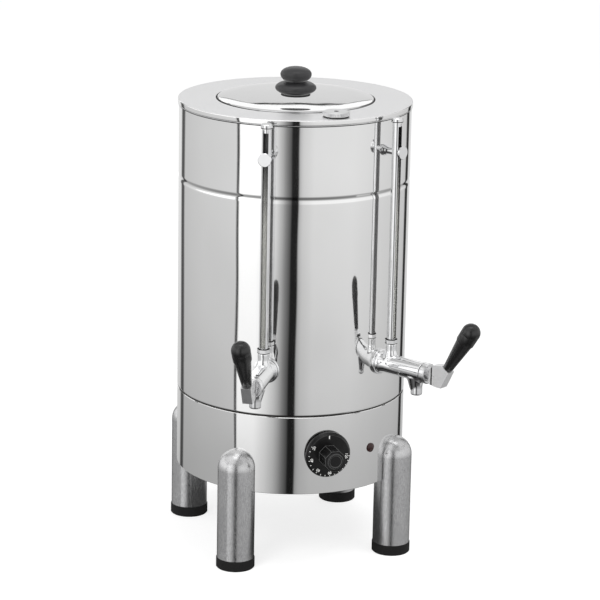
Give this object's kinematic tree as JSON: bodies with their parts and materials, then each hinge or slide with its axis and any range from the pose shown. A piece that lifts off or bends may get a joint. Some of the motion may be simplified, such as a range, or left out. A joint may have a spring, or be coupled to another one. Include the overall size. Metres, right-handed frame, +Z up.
{
  "type": "coffee urn",
  "caption": "Polished cylindrical coffee urn with an inner pot and a water jacket, lever taps under gauge glasses, a knobbed lid, a thermostat dial and rubber-footed legs",
  "frame": {"origin": "on the body's axis, in the plane the four feet stand on", "axes": "+Z up along the body's axis; -Y towards the front, where the dial is; +X to the right as seen from the front"},
  "size_m": [0.28, 0.3764, 0.5482],
  "materials": {
    "polished_steel": "mirror-polished stainless steel",
    "satin_steel": "satin stainless steel",
    "sheet_steel": "plain stainless sheet",
    "fixings": "zinc-plated steel",
    "element": "dark steel sheath",
    "brass": "turned brass",
    "control": "ivory moulded plastic",
    "copper": "copper capillary",
    "lamp_red": "dark red lens",
    "black_plastic": "satin black phenolic",
    "aluminium": "satin, drawn along its length",
    "black_rubber": "matt",
    "glass": "clear",
    "chrome": "chromium-plated brass",
    "silicone": "matt"
  },
  "bodies": {
    "urn": {"outer_shell": "polished_steel", "top_deck": "satin_steel", "inner_pot": "sheet_steel", "tank_floor": "sheet_steel", "base_skirt": "polished_steel", "base_cover": "sheet_steel", "base_cover_screws": "fixings", "heating_element": "element", "element_nuts": "brass", "thermostat_body": "control", "thermostat_nut": "fixings", "thermostat_bulb": "copper", "lamp_lens": "lamp_red", "lamp_nut": "fixings", "cable_gland": "black_plastic", "gland_nut": "black_plastic", "leg_front_left": "aluminium", "leg_front_right": "aluminium", "leg_rear_left": "aluminium", "leg_rear_right": "aluminium", "foot_front_left": "black_rubber", "foot_front_right": "black_rubber", "foot_rear_left": "black_rubber", "foot_rear_right": "black_rubber", "leg_screws": "fixings", "left_gauge_glass": "glass", "right_gauge_glass": "glass", "left_gauge_guard": "chrome", "right_gauge_guard": "chrome", "left_gauge_cap": "chrome", "right_gauge_cap": "chrome", "gauge_nuts": "chrome", "left_gauge_bracket": "chrome", "right_gauge_bracket": "chrome", "gauge_screws": "chrome", "left_tap_body": "chrome", "right_tap_body": "chrome", "tap_locknuts": "brass", "tap_gaskets": "silicone", "left_tap_bonnet": "chrome", "right_tap_bonnet": "chrome", "draw_pipe": "sheet_steel"},
    "lid": {"lid": "satin_steel", "lid_knob": "black_plastic", "lid_knob_screw": "fixings"},
    "plug": {"filler_plug": "chrome", "plug_seal": "black_rubber"},
    "dial": {"dial_knob": "black_plastic", "dial_spindle": "fixings"},
    "left_stem": {"left_tap_stem": "chrome", "left_seat_cup": "silicone"},
    "left_lever": {"left_tap_lever": "chrome", "left_tap_handle": "black_plastic", "left_lever_pin": "chrome"},
    "right_stem": {"right_tap_stem": "chrome", "right_seat_cup": "silicone"},
    "right_lever": {"right_tap_lever": "chrome", "right_tap_handle": "black_plastic", "right_lever_pin": "chrome"}
  },
  "joints": [
    {"name": "lid_lift", "type": "slide", "parent": "urn", "child": "lid", "axis": [0, 0, 1], "range_m": [0, 0.09]},
    {"name": "plug_lift", "type": "slide", "parent": "urn", "child": "plug", "axis": [0, 0, 1], "range_m": [0, 0.03]},
    {"name": "dial_turn", "type": "hinge", "parent": "urn", "child": "dial", "pos_m": [0, -0.13, 0.1365], "axis": [0, 1, 0], "range_deg": [0, 245]},
    {"name": "left_stem_slide", "type": "slide", "parent": "urn", "child": "left_stem", "axis": [-0.5075, -0.8616, 0], "range_m": [0, 0.00314], "stiffness_N_per_m": 2000, "springref_m": -0.005},
    {"name": "left_lever_tilt", "type": "hinge", "parent": "left_stem", "child": "left_lever", "pos_m": [-0.10658, -0.18094, 0.233], "axis": [0.8616, -0.5075, 0], "range_deg": [0, 41]},
    {"name": "right_stem_slide", "type": "slide", "parent": "urn", "child": "right_stem", "axis": [0.5075, -0.8616, 0], "range_m": [0, 0.00314], "stiffness_N_per_m": 2000, "springref_m": -0.005},
    {"name": "right_lever_tilt", "type": "hinge", "parent": "right_stem", "child": "right_lever", "pos_m": [0.10658, -0.18094, 0.233], "axis": [0.8616, 0.5075, 0], "range_deg": [0, 41]}
  ],
  "couplings": [
    {"joint": "left_lever_tilt", "follows": "left_stem_slide", "rad_per_m": 222.22},
    {"joint": "right_lever_tilt", "follows": "right_stem_slide", "rad_per_m": 222.22}
  ]
}
